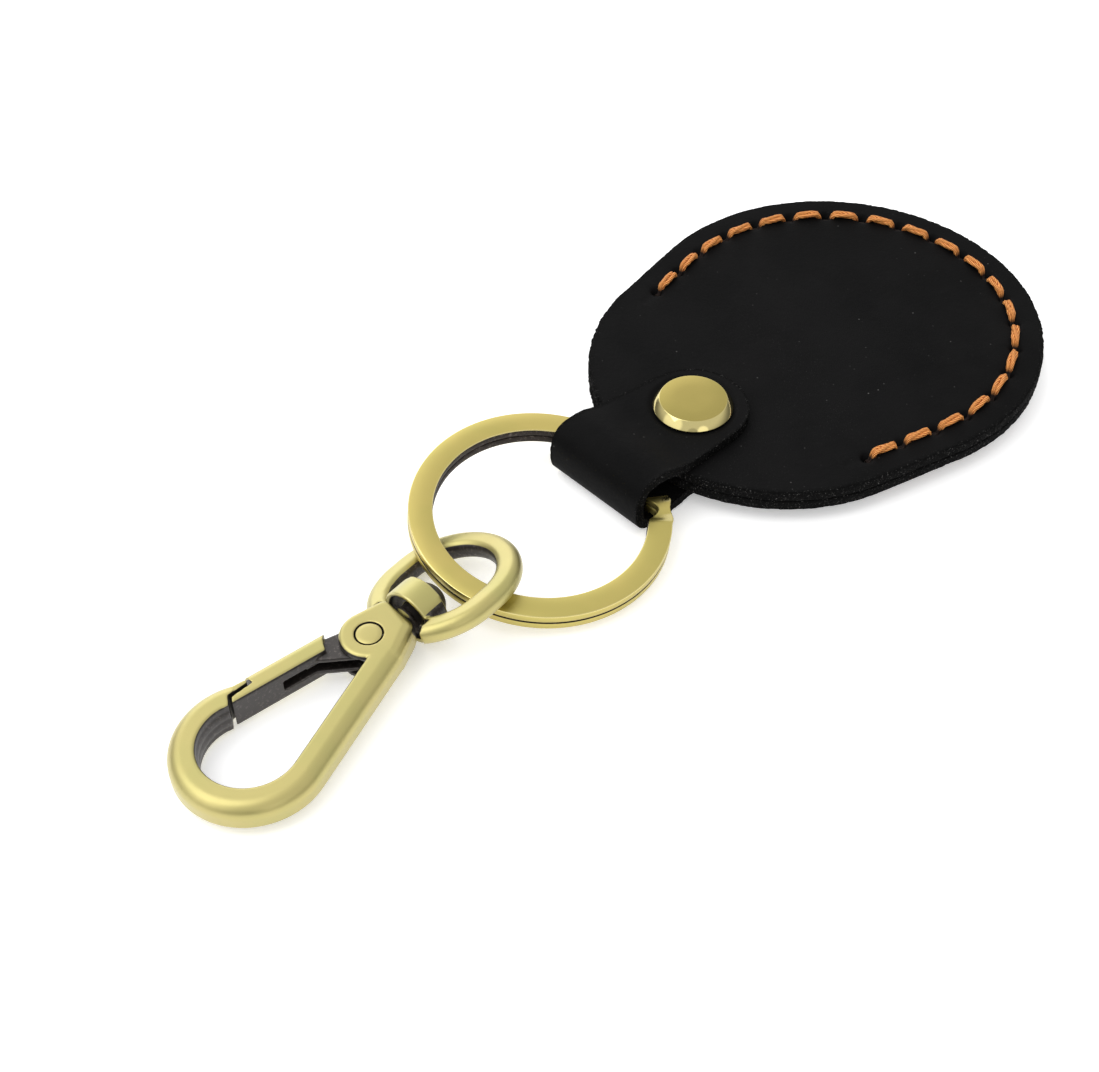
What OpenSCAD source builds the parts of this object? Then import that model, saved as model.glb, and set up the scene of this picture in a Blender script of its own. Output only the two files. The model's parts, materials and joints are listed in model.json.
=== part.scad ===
/* [Leather body] */
// Thickness of each leather panel
panel_t = 1.4; // [1.0:0.1:2.4]
// Radius of the wide, stitched end of the body
wide_r = 25.2; // [23:0.1:30]
// Radius of the narrow end, at the strap
narrow_r = 22.7; // [19:0.1:23]
// Distance between the centres of the two ends
end_spacing = 11.55; // [10:0.05:20]
// Distance from the narrow edge to the screw axis
screw_inset = 8.8; // [8:0.05:10]
// Gap between leather layers that lie on each other
layer_gap = 0.05; // [0.02:0.01:0.15]

/* [Stitching] */
// Number of stitches on each face
stitch_count = 20; // [12:1:22]
// Length of one stitch, from hole to hole
stitch_pitch = 4.86; // [4:0.01:5.2]
// Distance from the leather edge to the stitch line
stitch_inset = 3.5; // [2.5:0.1:5]
// How far the row of stitches sits round the edge, off the centre line
stitch_shift = -1.3; // [-3:0.1:3]
// Diameter of the thread
thread_d = 0.8; // [0.5:0.05:1.0]
// Diameter of the stitch holes
stitch_hole_d = 1.0; // [0.8:0.1:1.4]
// Depth to which the thread dips into each hole
thread_dip = 0.45; // [0.2:0.05:0.6]

/* [Strap] */
// Width of the strap
strap_w = 14.2; // [12:0.1:15]
// Width of the strap's rounded end, round the screw
tip_w = 13.2; // [12:0.1:15]
// Thickness of the strap
strap_t = 1.2; // [1.0:0.1:1.4]
// Gap between the key ring and the narrow edge of the body
ring_gap = 0.53; // [0.45:0.02:2]
// Inner height of the fold, where the ring lies
loop_inner_h = 4.9; // [4.6:0.1:6]
// Height of the fold above the surface
loop_lift = 0.1; // [0.05:0.05:0.3]
// Distance from the screw axis to where the strap leaves the body
strap_bend_x = 6.6; // [6:0.1:8]
// How far the strap sits to the gate side of the centre line
strap_shift = 0.4; // [0:0.1:0.8]

/* [Screw] */
// Outer diameter of the front head
head_d = 9.6; // [8:0.1:11]
// Diameter of the flat on the front head
head_flat_d = 8.1; // [6:0.1:8.6]
// Height of the front head
head_h = 1.2; // [0.9:0.1:1.8]
// Height of the front head's upright rim
head_rim_h = 0.25; // [0.1:0.05:0.5]
// Diameter of the post barrel
barrel_d = 4.0; // [3.6:0.1:5]
// Outer diameter of the back head
back_head_d = 9.2; // [8:0.1:11]
// Height of the back head
back_head_h = 1.0; // [0.8:0.1:1.4]
// Depth to which the back head is pressed into the strap
back_seat = 0.35; // [0.2:0.05:0.5]
// Depth to which the front head is pressed into the strap
front_seat = 0.1; // [0.05:0.05:0.3]
// Diameter of the screw shank
shank_d = 2.5; // [2:0.1:3]
// Length of the screw shank above the back head
shank_l = 4.2; // [3:0.1:4.4]
// Width of the screwdriver slot
slot_w = 1.1; // [0.8:0.1:1.4]
// Depth of the screwdriver slot
slot_depth = 0.5; // [0.3:0.05:0.6]

/* [Key ring] */
// Outer diameter of the ring
ring_d = 30.0; // [28:0.1:31]
// Radial width of the flat wire
ring_band = 2.8; // [2:0.1:3]
// Thickness of each coil
coil_t = 1.0; // [0.8:0.05:1.05]
// Gap between the two coils
coil_gap = 0.08; // [0.05:0.01:0.15]
// Chamfer on the edges of the wire
coil_chamfer = 0.18; // [0.1:0.01:0.3]

/* [Swivel eye] */
// Width of the eye over its band
eye_w = 16.7; // [15:0.1:17.4]
// Length of the eye's straight sides
eye_straight = 1.6; // [0:0.1:3]
// Width of the band
eye_band = 2.9; // [2.2:0.1:3.2]
// Thickness of the band
eye_t = 2.4; // [2.0:0.1:2.6]
// Outer diameter of the collar
collar_d = 6.8; // [5.6:0.1:7]
// Length of the collar
collar_l = 3.1; // [2.8:0.1:4]
// Diameter of the hook's stem in the collar
stem_d = 2.9; // [2.4:0.1:3.4]
// Diameter of the stem's riveted dome
dome_d = 4.8; // [4:0.1:5.4]
// Height of the riveted dome
dome_h = 1.7; // [1.2:0.1:2]

/* [Hook] */
// Outer radius of the hook's bowl
bowl_r = 8.5; // [8.2:0.05:9.5]
// Width of the hook's bar
bar_w = 3.05; // [2.7:0.05:3.3]
// Height of the hook's bar
bar_h = 4.3; // [4:0.1:4.8]
// Rounding of the bar's outer edges
bar_round = 1.6; // [0.6:0.05:1.8]
// Rounding of the inner edges of the hook and the gate
inner_round = 0.35; // [0.2:0.05:0.6]
// Angle between the leg and the swivel axis
leg_angle = 15.2; // [14:0.1:16.5]
// How far the bowl's centre lies off the swivel axis, away from the gate
bowl_drop = 0.3; // [0:0.05:0.6]
// Distance from the bowl centre to the top of the head
head_x = 22.7; // [22.3:0.05:24]
// Width of the head at its top
head_w = 5.6; // [5:0.1:6]
// Radius of the head around the pin
ear_r = 3.3; // [3.1:0.05:3.6]
// Height of the slot between the two ears
fork_h = 2.7; // [2.4:0.1:3]
// Direction, seen from the bowl centre, where the round of the nose ends
nose_angle = 60; // [56:1:62]
// Length of the straight finger of the nose, past its turn
finger_l = 3.6; // [3.2:0.1:4]

/* [Gate] */
// Distance from the bowl centre to the pivot pin, along the axis
pin_x = 18.1; // [17.2:0.05:18.4]
// Distance of the pivot pin from the axis
pin_y = 0.4; // [0:0.1:0.8]
// Diameter of the pivot pin
pin_d = 3.2; // [2.6:0.1:3.3]
// Angle between the closed gate and the swivel axis
gate_angle = 12.2; // [11:0.1:13.5]
// Distance from the pin to the middle line of the gate
gate_offset = 2.2; // [2.0:0.05:2.5]
// Width of the gate's bar
gate_w = 2.4; // [2.2:0.1:2.8]
// Height of the gate's bar
gate_h = 4.1; // [3.8:0.1:4.6]
// Gap between the gate and the nose
gate_gap = 0.25; // [0.15:0.05:0.35]
// Height of the channel in the gate, which holds the spring
channel_h = 1.4; // [1.3:0.05:1.5]
// Depth of the channel in the gate
channel_depth = 1.3; // [0.9:0.1:1.5]
// Diameter of the spring wire
spring_wire_d = 0.3; // [0.2:0.02:0.32]
// Number of turns in the gate spring
spring_turns = 2; // [1:1:3]

/* [Lie of the pieces] */
// Turn of the strap on its screw, with all that hangs on it
strap_turn = 2.5; // [0:0.1:6]
// Roll of the key ring, its gate side raised
ring_roll = 7.0; // [6.8:0.1:8]
// Roll of the eye about the swivel axis, its gate side lowered
eye_roll = 20; // [19:0.5:22]
// Yaw of the hook from the body's centre line
hook_yaw = 5.1; // [0:0.1:8]
// Rise of the swivel axis towards the eye
hook_pitch = 2.45; // [2.4:0.05:3]
// Where on the ring the eye hangs, from the strap
eye_angle = 182; // [170:1:190]

/* [Hidden] */
$fn = 96;
UP = [0, 0, 1];
cut = 1;
hull_fn = 32;
puck_steps = 3;
wide_fn = 180;
hole_fn = 24;
wire_sides = 8;
fit = 0.05;

// Heights of the layers, from the surface up
lower_leaf_z = back_head_h - back_seat;
back_z = lower_leaf_z + strap_t + layer_gap;
front_z = back_z + panel_t + layer_gap;
upper_leaf_z = front_z + panel_t + layer_gap;
head_z = upper_leaf_z + strap_t - front_seat;

// Outline of the body: two round ends and their common tangents
narrow_x = narrow_r - screw_inset;
wide_x = narrow_x + end_spacing;
tangent_angle = 90 + asin((wide_r - narrow_r) / end_spacing);
body_far_x = wide_x + wide_r;

// Stitch line, an inset copy of that outline
stitch_r = wide_r - stitch_inset;
stitch_arc = stitch_r * tangent_angle * PI / 180;
stitch_run = stitch_count * stitch_pitch;
stitch_steps = 8;
dip_power = 5;

// Key ring: it clears the body's edge, and the fold clears the ring
ring_r = ring_d / 2;
ring_mid_r = ring_r - ring_band / 2;
ring_x = -screw_inset - ring_gap - ring_r;
ring_y = 0.6;
ring_fold_gap = 0.45;
tip_y = strap_shift - (strap_w - tip_w) / 2;
strap_half = strap_w / 2 + abs(strap_shift - ring_y);
ring_sag = ring_r - ring_band - sqrt(pow(ring_r - ring_band, 2) - pow(strap_half, 2));

// Strap: a fold between two leaves
loop_reach = screw_inset + ring_gap + ring_band + ring_sag + ring_fold_gap + strap_t;
fold_r = (loop_inner_h + strap_t) / 2;
fold_x = -loop_reach + fold_r + strap_t / 2;
fold_z = loop_lift + strap_t / 2 + fold_r;
ease_steps = 10;
fold_steps = 18;
fold_share = 0.72;

// Screw
barrel_fit = 0.05;
barrel_z = back_head_h + fit;
bore_depth = shank_l + fit;
edge_break = 0.15;

// Key ring: height, and the step between its coils
ring_rise_share = 0.1;
ring_z = fold_z + ring_rise_share * coil_t;
jog_angle = -38;
jog_gap = 15;
step_reach = 0.3;
step_inset = 0.04;

// Swivel: where the hook stands
eye_offset = -1.35;
eye_r = eye_w / 2;
eye_mid_r = eye_r - eye_band / 2;
eye_round = 1.1;
eye_inner_round = 1;
hook_to_collar = 0.7;
collar_x = head_x + hook_to_collar;
eye_back = 3.3;
spot_r = 4.3;
eye_x = collar_x + eye_r + eye_straight / 2 - eye_back;
swivel_fit = 0.07;
eye_c = [
    ring_x + (ring_mid_r - eye_offset) * cos(eye_angle),
    ring_y + (ring_mid_r - eye_offset) * sin(eye_angle),
    (bar_h / 2) + (eye_x + bowl_r) * sin(hook_pitch)];
cup_wall = 0.5;
cup_depth = 0.9;
neck_step = 0.3;
neck_d = stem_d + 2 * neck_step;

// Hook
bowl_mid_r = bowl_r - bar_w / 2;
head_corner_r = 1.0;
head_edge = 0.5;
leg_corner_r = 1.5;
leg_edge = 1.3;
fork_fit = 0.1;
pin_fit = 0.06;

// Interlock of nose and gate: its corner, and the directions of its two faces
lock_turn = 65.8;
lock_r_share = 0.424;
finger_turn = -6;
gap_turn = 52;
lock_reach = 7;
lock_r = bowl_r - bar_w + bar_w * lock_r_share;
lock = [lock_r * cos(lock_turn), lock_r * sin(lock_turn)];
finger_dir = [cos(finger_turn), sin(finger_turn)];
gap_dir = [cos(gap_turn), sin(gap_turn)];
straight_turn = 75;
finger_inset = 0.1;
finger_drop = 1.0;
straight_dir = [sin(straight_turn), -cos(straight_turn)];
straight_out = [cos(straight_turn), sin(straight_turn)];
finger_tip = (bowl_r - finger_drop) * straight_out + finger_l * straight_dir;

// Gate, measured from its pin towards the nose
gate_root = 1.4;
gate_start = ear_r - gate_root;
ear_gap = 1.6;
gate_length = 17;
gate_round = 1.0;
hinge_r = 2.4;
hinge_h = fork_h - 2 * fork_fit;
channel_length = 10.2;
spring_fit = 0.1;
spring_r = pin_d / 2 + spring_fit + spring_wire_d / 2;
spring_turn_gap = 0.04;
spring_pitch = spring_wire_d + spring_turn_gap;
spring_steps = 24;
spring_leg = 7;
spring_foot_share = 0.3;

// The hook's extreme along -X, for the origin at the middle of the box
tilt_x = abs(sin(hook_pitch) * cos(hook_yaw + strap_turn));
level_x = sqrt(1 - tilt_x * tilt_x);
bowl_c = eye_c + bowl_drop * [sin(hook_yaw), -cos(hook_yaw), 0]
    - eye_x * [cos(hook_pitch) * cos(hook_yaw), cos(hook_pitch) * sin(hook_yaw), sin(hook_pitch)];
hook_min_x = bowl_c[0] * cos(strap_turn) - bowl_c[1] * sin(strap_turn)
    - (bowl_mid_r + bar_w / 2 - bar_round) * level_x
    - (bar_h / 2 - bar_round) * tilt_x - bar_round;
mid_x = (body_far_x + hook_min_x) / 2;

function unit(v) = v / norm(v);
// A fold fuller than a circle, for the ring pulls its corners out
function full(c) = sign(c) * pow(abs(c), fold_share);
function ease(u) = u * u * (3 - 2 * u);
function mix(a, b, u) = a + (b - a) * u;

// Point of the stitch line at distance s from the far end, either way
function stitch_point(s) =
    let (a = abs(s), side = s < 0 ? -1 : 1)
    let (turn = min(a, stitch_arc) / stitch_r * 180 / PI)
    let (rest = max(0, a - stitch_arc))
    [wide_x + stitch_r * cos(turn) - rest * sin(tangent_angle),
        side * (stitch_r * sin(turn) + rest * cos(tangent_angle))];
function hole(i) = stitch_point(i * stitch_pitch - stitch_run / 2 + stitch_shift);

// Sweep of a round section along a path that never runs upright
function heading(path, i) =
    unit(path[min(i + 1, len(path) - 1)] - path[max(i - 1, 0)]);
module tube(path, r, sides) {
    n = len(path);
    points = [for (i = [0:n - 1])
        let (t = heading(path, i), s = unit(cross(t, UP)), u = cross(s, t))
        for (k = [0:sides - 1])
            path[i] + r * (cos(360 * k / sides) * s + sin(360 * k / sides) * u)];
    walls = [for (i = [0:n - 2]) for (k = [0:sides - 1])
        let (a = i * sides + k, b = i * sides + (k + 1) % sides)
        each [[a, b, a + sides], [b, b + sides, a + sides]]];
    first = [for (k = [1:sides - 2]) [0, k + 1, k]];
    last = [for (k = [1:sides - 2])
        [(n - 1) * sides, (n - 1) * sides + k, (n - 1) * sides + k + 1]];
    polyhedron(points, concat(walls, first, last));
}

// Frames of the strap, the ring and the hook
module in_strap() {
    rotate([0, 0, strap_turn])
        children();
}
module in_ring() {
    in_strap()
        translate([ring_x, ring_y, ring_z])
            rotate([ring_roll, 0, 0])
                children();
}
module in_hook() {
    in_strap()
        translate(eye_c)
            rotate([0, -hook_pitch, hook_yaw])
                translate([-eye_x, 0, 0])
                    children();
}

// Frame of the bowl, in the hook's
module in_bowl() {
    translate([0, -bowl_drop, 0])
        children();
}

module body_outline(z, h) {
    translate([wide_x, 0, z])
        cylinder(r = wide_r, h = h, $fn = wide_fn);
    translate([narrow_x, 0, z])
        cylinder(r = narrow_r, h = h, $fn = wide_fn);
    c = cos(tangent_angle);
    s = sin(tangent_angle);
    translate([0, 0, z])
        linear_extrude(h)
            polygon([
                [wide_x + wide_r * c, wide_r * s],
                [narrow_x + narrow_r * c, narrow_r * s],
                [narrow_x + narrow_r * c, -narrow_r * s],
                [wide_x + wide_r * c, -wide_r * s]]);
}

module panel(z) {
    difference() {
        body_outline(z, panel_t);
        translate([0, 0, z - cut])
            cylinder(d = barrel_d + 2 * barrel_fit, h = panel_t + 2 * cut);
        for (i = [0:stitch_count])
            translate([hole(i)[0], hole(i)[1], z - cut])
                cylinder(d = stitch_hole_d, h = panel_t + 2 * cut, $fn = hole_fn);
    }
}

module front_panel() {
    color([0.09, 0.09, 0.09]) panel(front_z);
}

module back_panel() {
    color([0.08, 0.08, 0.08]) panel(back_z);
}

// One thread: it lies on the leather and dips into every hole
module thread(z, side) {
    rise = thread_d / 2 + layer_gap;
    path = [for (i = [0:stitch_count - 1]) for (k = [0:stitch_steps - (i < stitch_count - 1 ? 1 : 0)])
        let (u = k / stitch_steps, p = mix(hole(i), hole(i + 1), u), dip = pow(abs(2 * u - 1), dip_power))
        [p[0], p[1], z + side * (rise - (rise + thread_dip) * dip)]];
    tube(path, thread_d / 2, wire_sides);
}

module needle_thread() {
    color([0.78, 0.42, 0.18]) thread(front_z + panel_t, 1);
}

module bobbin_thread() {
    color([0.78, 0.42, 0.18]) thread(back_z, -1);
}

// Centre line of the strap, in X and height
function strap_path() = concat(
    [[strap_w, lower_leaf_z + strap_t / 2]],
    [for (k = [0:ease_steps - 1])
        let (u = k / ease_steps)
        [mix(-strap_bend_x, fold_x, u), mix(lower_leaf_z + strap_t / 2, fold_z - fold_r, ease(u))]],
    [for (k = [0:fold_steps])
        let (a = -90 - 180 * k / fold_steps)
        [fold_x + fold_r * full(cos(a)), fold_z + fold_r * full(sin(a))]],
    [for (k = [1:ease_steps])
        let (u = k / ease_steps)
        [mix(fold_x, -strap_bend_x, u), mix(fold_z + fold_r, upper_leaf_z + strap_t / 2, ease(u))]],
    [[strap_w, upper_leaf_z + strap_t / 2]]);
function side_of(path, d) = [for (i = [0:len(path) - 1])
    let (t = heading(path, i)) path[i] + d * [-t[1], t[0]]];

// Where the sloping edge from p meets the rounded end
function tip_touch(p) =
    let (c = [0, tip_y], d = norm(c - p))
    let (a = atan2(c[1] - p[1], c[0] - p[0]) + asin(tip_w / 2 / d))
    p + sqrt(d * d - pow(tip_w / 2, 2)) * [cos(a), sin(a)];
module strap() {
    path = strap_path();
    low = strap_shift - strap_w / 2 - cut;
    high = strap_shift + strap_w / 2 + cut;
    bend = [-strap_bend_x, high - cut];
    inner = side_of(path, strap_t / 2);
    outer = side_of(path, -strap_t / 2);
    ribbon = concat(inner, [for (i = [len(outer) - 1:-1:0]) outer[i]]);
    tall = fold_z + fold_r + strap_t + cut;
    color([0.1, 0.1, 0.1])
        in_strap() difference() {
            intersection() {
                translate([0, strap_shift + strap_w / 2, 0])
                    rotate([90, 0, 0])
                        linear_extrude(strap_w)
                            polygon(ribbon);
                union() {
                    translate([0, tip_y, 0])
                        cylinder(d = tip_w, h = tall);
                    linear_extrude(tall)
                        polygon([
                            [-loop_reach - cut, low],
                            [0, low],
                            [0, tip_y],
                            tip_touch(bend),
                            bend,
                            [-strap_bend_x, high],
                            [-loop_reach - cut, high]]);
                }
            }
            translate([0, 0, -cut])
                cylinder(d = barrel_d + 2 * barrel_fit, h = tall + 2 * cut);
            translate([0, 0, -cut])
                cylinder(d = back_head_d + 2 * fit, h = back_head_h + fit + cut);
            translate([0, 0, head_z - fit])
                cylinder(d = head_d + 2 * fit, h = tall);
        }
}

module screw_post() {
    r = head_d / 2;
    color([0.72, 0.66, 0.38])
        difference() {
            union() {
                translate([0, 0, head_z])
                    rotate_extrude()
                        polygon([[0, 0], [r, 0], [r, head_rim_h], [head_flat_d / 2, head_h], [0, head_h]]);
                translate([0, 0, barrel_z])
                    cylinder(d = barrel_d, h = head_z - barrel_z + edge_break);
            }
            translate([0, 0, barrel_z - cut])
                cylinder(d = shank_d + 2 * fit, h = bore_depth + cut);
        }
}

module back_screw() {
    r = back_head_d / 2;
    color([0.66, 0.6, 0.34])
        difference() {
            union() {
                rotate_extrude()
                    polygon([[0, 0], [r - edge_break, 0], [r, edge_break], [r, back_head_h], [0, back_head_h]]);
                cylinder(d = shank_d, h = back_head_h + shank_l);
            }
            translate([-r - cut, -slot_w / 2, -cut])
                cube([2 * (r + cut), slot_w, slot_depth + cut]);
        }
}

// One coil of flat wire with broken edges, its underside at z
module coil(z) {
    c = coil_chamfer;
    i = ring_r - ring_band;
    rotate([0, 0, jog_angle + jog_gap / 2])
        rotate_extrude(angle = 360 - jog_gap, $fn = wide_fn)
            translate([0, z])
                polygon([
                    [i + c, 0], [ring_r - c, 0], [ring_r, c], [ring_r, coil_t - c],
                    [ring_r - c, coil_t], [i + c, coil_t], [i, coil_t - c], [i, c]]);
}

// The wire's step from one coil up to the other
module coil_step() {
    y = ring_mid_r * tan(jog_gap / 2) + step_reach;
    low = coil_gap / 2 + step_inset;
    high = coil_gap / 2 + coil_t - step_inset;
    rotate([0, 0, jog_angle])
        translate([ring_r - ring_band + coil_chamfer, 0, 0])
            rotate([90, 0, 90])
                linear_extrude(ring_band - 2 * coil_chamfer)
                    polygon([[-y, -high], [0, -high], [y, low], [y, high], [0, high], [-y, -low]]);
}

module split_ring() {
    color([0.76, 0.7, 0.4])
        in_ring() {
            coil(-coil_t - coil_gap / 2);
            coil(coil_gap / 2);
            coil_step();
        }
}

// Flat round piece with rounded edges, standing on the mid plane
module puck(r, h, e) {
    edge = [for (k = [0:puck_steps]) let (a = 90 * k / puck_steps)
        [r - e + e * sin(a), h / 2 - e + e * cos(a)]];
    rotate_extrude($fn = hull_fn)
        polygon(concat([[0, -h / 2], [0, h / 2]], edge,
            [for (k = [0:puck_steps]) [edge[puck_steps - k][0], -edge[puck_steps - k][1]]]));
}

// Section of a bar about x: well rounded on its outer side, crisp on its inner one
module bar_section(x, w, h, e, inner_e, side) {
    translate([x, 0]) {
        square([w - 2 * e, h], center = true);
        square([w, h - 2 * e], center = true);
        translate([-side * (w / 2 - inner_e) / 2, 0])
            square([w / 2 - inner_e, h], center = true);
        translate([-side * w / 4, 0])
            square([w / 2, h - 2 * inner_e], center = true);
        for (j = [-1, 1]) {
            translate([side * (w / 2 - e), j * (h / 2 - e)])
                circle(r = e, $fn = hull_fn);
            translate([-side * (w / 2 - inner_e), j * (h / 2 - inner_e)])
                circle(r = inner_e, $fn = hull_fn);
        }
    }
}

module swivel_eye() {
    color([0.72, 0.67, 0.38])
        in_hook() rotate([-eye_roll, 0, 0])
            difference() {
                union() {
                    for (s = [-1, 1])
                        translate([eye_x + s * eye_straight / 2, 0, 0])
                            rotate([0, 0, -90 * s])
                                rotate_extrude(angle = 180)
                                    bar_section(eye_mid_r, eye_band, eye_t, eye_round, eye_inner_round, 1);
                    for (s = [-1, 1])
                        translate([eye_x - eye_straight / 2, s * eye_mid_r, 0])
                            rotate([90, 0, 90])
                                linear_extrude(eye_straight)
                                    bar_section(0, eye_band, eye_t, eye_round, eye_inner_round, s);
                    translate([collar_x, 0, 0])
                        rotate([0, 90, 0])
                            cylinder(d = collar_d, h = collar_l);
                }
                translate([collar_x - cut, 0, 0])
                    rotate([0, 90, 0])
                        cylinder(d = stem_d + 2 * swivel_fit, h = collar_l + 2 * cut);
                translate([collar_x - cut, 0, 0])
                    rotate([0, 90, 0])
                        cylinder(d = collar_d - 2 * cup_wall, h = cup_depth + cut);
                translate([collar_x - eye_back - cut, 0, 0])
                    rotate([0, 90, 0])
                        cylinder(r = spot_r, h = eye_back + cut);
            }
}

module stem() {
    dome_x = collar_x + collar_l + 2 * swivel_fit;
    rotate([0, 90, 0]) {
        translate([0, 0, pin_x])
            cylinder(d = stem_d, h = dome_x - pin_x + dome_h / 2);
        translate([0, 0, head_x - edge_break])
            cylinder(d = neck_d, h = hook_to_collar - 2 * swivel_fit + edge_break);
        translate([0, 0, dome_x])
            intersection() {
                translate([0, 0, dome_h - (dome_h * dome_h + dome_d * dome_d / 4) / (2 * dome_h)])
                    sphere(r = (dome_h * dome_h + dome_d * dome_d / 4) / (2 * dome_h));
                cylinder(d = dome_d, h = dome_h);
            }
    }
}

module hook_body() {
    foot = [bowl_mid_r * sin(leg_angle), -bowl_drop - bowl_mid_r * cos(leg_angle)];
    leg_l = (pin_x - foot[0]) / cos(leg_angle);
    leg_top = foot + leg_l * [cos(leg_angle), sin(leg_angle)];
    color([0.7, 0.65, 0.36])
        in_hook()
            difference() {
                union() {
                    in_bowl() rotate([0, 0, leg_angle]) {
                        rotate([0, 0, -90])
                            mirror([0, 1, 0])
                                rotate_extrude(angle = 270 + leg_angle - nose_angle)
                                    bar_section(bowl_mid_r, bar_w, bar_h, bar_round, inner_round, 1);
                        translate([0, -bowl_mid_r, 0])
                            rotate([90, 0, 90])
                                linear_extrude(leg_l)
                                    bar_section(0, bar_w, bar_h, bar_round, inner_round, -1);
                    }
                    hull() {
                        translate([pin_x, pin_y, 0])
                            puck(ear_r, bar_h, head_edge);
                        translate([head_x - head_corner_r, head_w / 2 - head_corner_r, 0])
                            puck(head_corner_r, bar_h, head_edge);
                        translate([head_x - leg_corner_r, leg_corner_r - head_w / 2, 0])
                            puck(leg_corner_r, bar_h, leg_edge);
                        translate(leg_top)
                            puck(bar_w / 2, bar_h, leg_edge);
                    }
                    in_bowl() finger();
                    stem();
                }
                in_bowl() lock_notch();
                translate([pin_x, pin_y, -bar_h])
                    cylinder(d = pin_d, h = 2 * bar_h);
                translate([pin_x - ear_r - cut, pin_y - hinge_r - fork_fit, -fork_h / 2])
                    cube([ear_r + hinge_r + fork_fit + cut, 2 * ear_r + cut, fork_h]);
            }
}

// Straight end of the nose, which laps over the gate from outside
module finger() {
    root = (bowl_r - bar_w) * straight_out;
    translate([0, 0, finger_inset - bar_h / 2])
        linear_extrude(bar_h - 2 * finger_inset)
            polygon([
                root,
                root + finger_l * straight_dir,
                finger_tip,
                (bowl_r - finger_drop) * straight_out]);
}

// Room for the gate's tongue, behind the finger of the nose
module lock_notch() {
    translate([0, 0, -bar_h])
        linear_extrude(2 * bar_h)
            polygon([
                lock,
                lock + lock_reach * finger_dir,
                lock + lock_reach * (finger_dir - gap_dir),
                lock - lock_reach * gap_dir]);
}

// What the nose and its finger take from the gate, with the gap around them
module nose_room() {
    n = [gap_dir[1], -gap_dir[0]];
    d = [finger_dir[1], -finger_dir[0]];
    corner = lock + gate_gap * (n + d);
    tip = [finger_tip[0] + gate_gap, corner[1]];
    translate([0, 0, -bar_h])
        linear_extrude(2 * bar_h) {
            polygon([
                corner - lock_reach * gap_dir,
                corner + lock_reach * gap_dir,
                corner + lock_reach * (gap_dir - n),
                corner - lock_reach * (gap_dir + n)]);
            polygon([
                corner,
                corner + (tip[0] - corner[0]) * finger_dir,
                tip + [0, lock_reach],
                corner + [0, lock_reach]]);
        }
}

// Frame of the gate: at the pin, X towards the nose, Y to the inside
module in_gate() {
    translate([pin_x, pin_y, 0])
        rotate([0, 0, 180 - gate_angle])
            children();
}

module gate() {
    color([0.68, 0.63, 0.35])
        in_hook()
            difference() {
                union() {
                    in_gate()
                        difference() {
                            translate([gate_start, -gate_offset, 0])
                                rotate([90, 0, 90])
                                    linear_extrude(gate_length - gate_start)
                                        bar_section(0, gate_w, gate_h, gate_round, inner_round, -1);
                            translate([0, 0, -gate_h])
                                cylinder(r = ear_r + ear_gap, h = 2 * gate_h);
                        }
                    in_gate()
                        hull() {
                            translate([ear_r + ear_gap + gate_w / 2, -gate_offset, 0])
                                puck(gate_w / 2 - edge_break, hinge_h, edge_break);
                            puck(hinge_r, hinge_h, edge_break);
                        }
                }
                in_bowl() nose_room();
                translate([pin_x, pin_y, -bar_h])
                    cylinder(d = pin_d + 2 * pin_fit, h = 2 * bar_h);
                in_gate()
                    translate([-hinge_r - cut, -gate_offset + gate_w / 2 - channel_depth, -channel_h / 2])
                        cube([hinge_r + cut + channel_length, gate_w + 2 * hinge_r, channel_h]);
                in_gate()
                    translate([0, 0, -channel_h / 2])
                        cylinder(r = spring_r + spring_wire_d / 2 + spring_fit, h = channel_h);
            }
}

module gate_pin() {
    color([0.7, 0.65, 0.36])
        in_hook()
            translate([pin_x, pin_y, -bar_h / 2])
                cylinder(d = pin_d, h = bar_h);
}

// Torsion spring: a coil round the pin, one leg in the gate, one on the fork
module gate_spring() {
    turns = spring_turns * spring_steps;
    rise = spring_pitch * spring_turns;
    start = -90;
    coil = [for (i = [0:turns])
        let (a = start + 360 * i / spring_steps)
        [spring_r * cos(a), spring_r * sin(a), rise * (i / turns - 1 / 2)]];
    leg = [[spring_leg, -spring_r, -rise / 2]];
    path = concat(leg, coil, [[spring_leg * spring_foot_share, -spring_r, rise / 2]]);
    color([0.5, 0.5, 0.5])
        in_hook()
            in_gate()
                tube(path, spring_wire_d / 2, wire_sides);
}

translate([-mid_x, 0, 0]) front_panel();
translate([-mid_x, 0, 0]) back_panel();
translate([-mid_x, 0, 0]) needle_thread();
translate([-mid_x, 0, 0]) bobbin_thread();
translate([-mid_x, 0, 0]) strap();
translate([-mid_x, 0, 0]) screw_post();
translate([-mid_x, 0, 0]) back_screw();
translate([-mid_x, 0, 0]) split_ring();
translate([-mid_x, 0, 0]) swivel_eye();
translate([-mid_x, 0, 0]) hook_body();
translate([-mid_x, 0, 0]) gate();
translate([-mid_x, 0, 0]) gate_pin();
translate([-mid_x, 0, 0]) gate_spring();
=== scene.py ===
"""Leather tracker tag holder with its key ring and snap hook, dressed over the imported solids."""
import json
import math

import bmesh
import bpy
import numpy as np
from mathutils import Matrix, Vector, noise
from mathutils.bvhtree import BVHTree


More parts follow.
